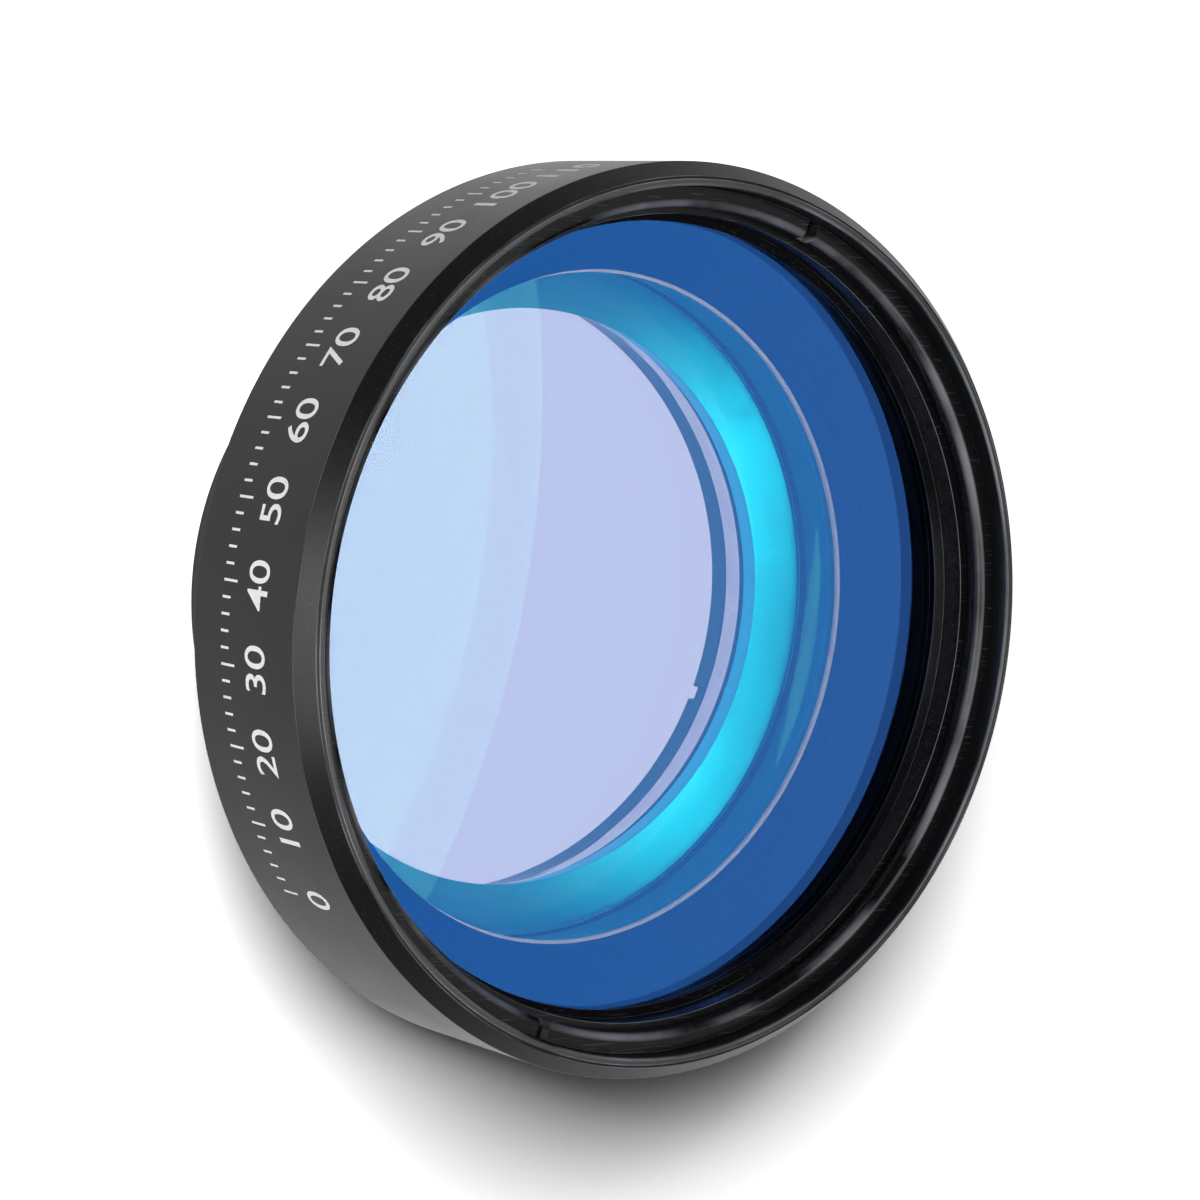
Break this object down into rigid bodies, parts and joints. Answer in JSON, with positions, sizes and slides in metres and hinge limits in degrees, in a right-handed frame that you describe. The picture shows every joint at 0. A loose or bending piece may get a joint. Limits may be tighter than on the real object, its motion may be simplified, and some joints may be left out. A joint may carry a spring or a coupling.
{
  "type": "f theta scan lens",
  "caption": "Round f-theta scan lens: black anodised barrel with a bevelled front, flat window behind a slotted retaining ring, and a threaded rear neck with a stop shoulder.",
  "frame": {"origin": "centre of the rear end face of the nose behind the threaded neck, on the optical axis", "axes": "+Z along the optical axis, out of the front window; the barrel stands upright on its rear nose"},
  "size_m": [0.1014, 0.1014, 0.0482],
  "materials": {
    "barrel": "black anodised, semi-gloss",
    "ring": "black anodised, satin",
    "bright_ring": "bright turned, clear anodised",
    "window_glass": "polished, coated against reflection",
    "lens_glass": "polished, coated against reflection",
    "seal": "matt",
    "slip_plastic": "white fluoropolymer"
  },
  "bodies": {
    "root": {"main_barrel": "barrel", "front_retaining_ring": "ring", "window_clamp_ring": "ring", "protective_window": "window_glass", "window_seal": "seal", "lens_retaining_ring": "ring", "lens_slip_ring": "slip_plastic", "front_lens": "lens_glass", "lens_spacer": "ring", "middle_lens": "lens_glass", "rear_lens": "lens_glass", "rear_seal": "seal", "rear_pressure_ring": "bright_ring", "rear_retaining_ring": "ring"}
  },
  "joints": []
}
